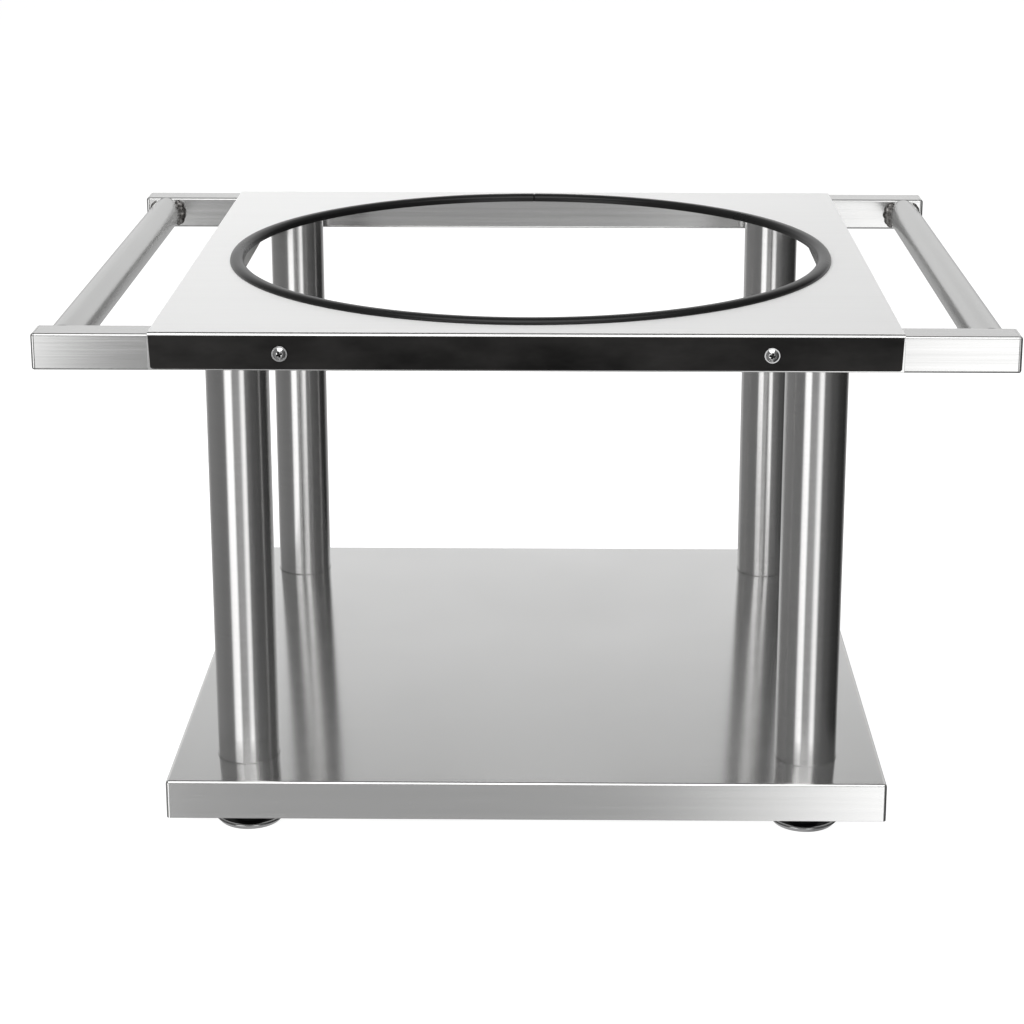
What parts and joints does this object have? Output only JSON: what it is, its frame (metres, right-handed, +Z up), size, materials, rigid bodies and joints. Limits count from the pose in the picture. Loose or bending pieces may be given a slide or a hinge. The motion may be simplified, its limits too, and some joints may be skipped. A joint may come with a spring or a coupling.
{
  "type": "kamado grill cart",
  "caption": "Low stainless cart for a kamado grill: square top with a rubber-edged round hole, side handles, round legs, a folded shelf and screw-adjusted feet.",
  "frame": {"origin": "on the floor under the middle of the cart", "axes": "+X to the right along the bars, +Y to the rear, +Z up"},
  "size_m": [0.786, 0.6087, 0.4505],
  "materials": {
    "sheet_steel": "fine satin sheet, pale and nearly matt",
    "shelf_steel": "satin sheet that mirrors softly front to back",
    "bar_steel": "brushed along its length",
    "handle_steel": "satin round tube",
    "weld_steel": "rippled weld bead, darkened by heat",
    "leg_steel": "satin round tube",
    "plug_steel": "turned steel",
    "trim_rubber": "smooth black rubber with a soft sheen",
    "washer_steel": "thin plain ring, smooth",
    "fascia_black": "black satin powder coat",
    "fastener_chrome": "bright plated",
    "foot_chrome": "bright plated, with a black dish",
    "stud_steel": "zinc plated thread"
  },
  "bodies": {
    "cart": {"fascia_screws": "fastener_chrome", "foot_lock_nuts": "stud_steel", "front_bar": "bar_steel", "front_fascia": "fascia_black", "front_left_corner_plate": "bar_steel", "front_left_end_cap": "bar_steel", "front_left_leg": "leg_steel", "front_left_leg_foot_plug": "plug_steel", "front_left_leg_top_plug": "plug_steel", "front_left_leg_washer": "washer_steel", "front_right_corner_plate": "bar_steel", "front_right_end_cap": "bar_steel", "front_right_leg": "leg_steel", "front_right_leg_foot_plug": "plug_steel", "front_right_leg_top_plug": "plug_steel", "front_right_leg_washer": "washer_steel", "handle_welds": "weld_steel", "hole_trim": "trim_rubber", "left_handle": "handle_steel", "left_shelf_channel": "shelf_steel", "left_side_tube": "bar_steel", "leg_bolts": "fastener_chrome", "rear_bar": "bar_steel", "rear_left_corner_plate": "bar_steel", "rear_left_end_cap": "bar_steel", "rear_left_leg": "leg_steel", "rear_left_leg_foot_plug": "plug_steel", "rear_left_leg_top_plug": "plug_steel", "rear_left_leg_washer": "washer_steel", "rear_right_corner_plate": "bar_steel", "rear_right_end_cap": "bar_steel", "rear_right_leg": "leg_steel", "rear_right_leg_foot_plug": "plug_steel", "rear_right_leg_top_plug": "plug_steel", "rear_right_leg_washer": "washer_steel", "rear_screws": "fastener_chrome", "right_handle": "handle_steel", "right_shelf_channel": "shelf_steel", "right_side_tube": "bar_steel", "shelf_pan": "shelf_steel", "threaded_inserts": "fastener_chrome", "top_plate": "sheet_steel"},
    "front_left_pad": {"front_left_foot_pad": "foot_chrome"},
    "front_left_stud": {"front_left_foot_stud": "stud_steel"},
    "front_right_pad": {"front_right_foot_pad": "foot_chrome"},
    "front_right_stud": {"front_right_foot_stud": "stud_steel"},
    "rear_left_pad": {"rear_left_foot_pad": "foot_chrome"},
    "rear_left_stud": {"rear_left_foot_stud": "stud_steel"},
    "rear_right_pad": {"rear_right_foot_pad": "foot_chrome"},
    "rear_right_stud": {"rear_right_foot_stud": "stud_steel"}
  },
  "joints": [
    {"name": "front_left_foot_height", "type": "slide", "parent": "cart", "child": "front_left_pad", "axis": [0, 0, 1], "range_m": [-0.015, 0.01]},
    {"name": "front_left_foot_turn", "type": "hinge", "parent": "front_left_pad", "child": "front_left_stud", "pos_m": [-0.2375, -0.2375, 0.05], "axis": [0, 0, 1], "range_deg": [-3085.72, 2057.15]},
    {"name": "front_right_foot_height", "type": "slide", "parent": "cart", "child": "front_right_pad", "axis": [0, 0, 1], "range_m": [-0.015, 0.01]},
    {"name": "front_right_foot_turn", "type": "hinge", "parent": "front_right_pad", "child": "front_right_stud", "pos_m": [0.2375, -0.2375, 0.05], "axis": [0, 0, 1], "range_deg": [-3085.72, 2057.15]},
    {"name": "rear_left_foot_height", "type": "slide", "parent": "cart", "child": "rear_left_pad", "axis": [0, 0, 1], "range_m": [-0.015, 0.01]},
    {"name": "rear_left_foot_turn", "type": "hinge", "parent": "rear_left_pad", "child": "rear_left_stud", "pos_m": [-0.2375, 0.2375, 0.05], "axis": [0, 0, 1], "range_deg": [-3085.72, 2057.15]},
    {"name": "rear_right_foot_height", "type": "slide", "parent": "cart", "child": "rear_right_pad", "axis": [0, 0, 1], "range_m": [-0.015, 0.01]},
    {"name": "rear_right_foot_turn", "type": "hinge", "parent": "rear_right_pad", "child": "rear_right_stud", "pos_m": [0.2375, 0.2375, 0.05], "axis": [0, 0, 1], "range_deg": [-3085.72, 2057.15]}
  ],
  "couplings": [
    {"joint": "front_left_foot_turn", "follows": "front_left_foot_height", "rad_per_m": 3590.4},
    {"joint": "front_right_foot_turn", "follows": "front_right_foot_height", "rad_per_m": 3590.4},
    {"joint": "rear_left_foot_turn", "follows": "rear_left_foot_height", "rad_per_m": 3590.4},
    {"joint": "rear_right_foot_turn", "follows": "rear_right_foot_height", "rad_per_m": 3590.4}
  ]
}
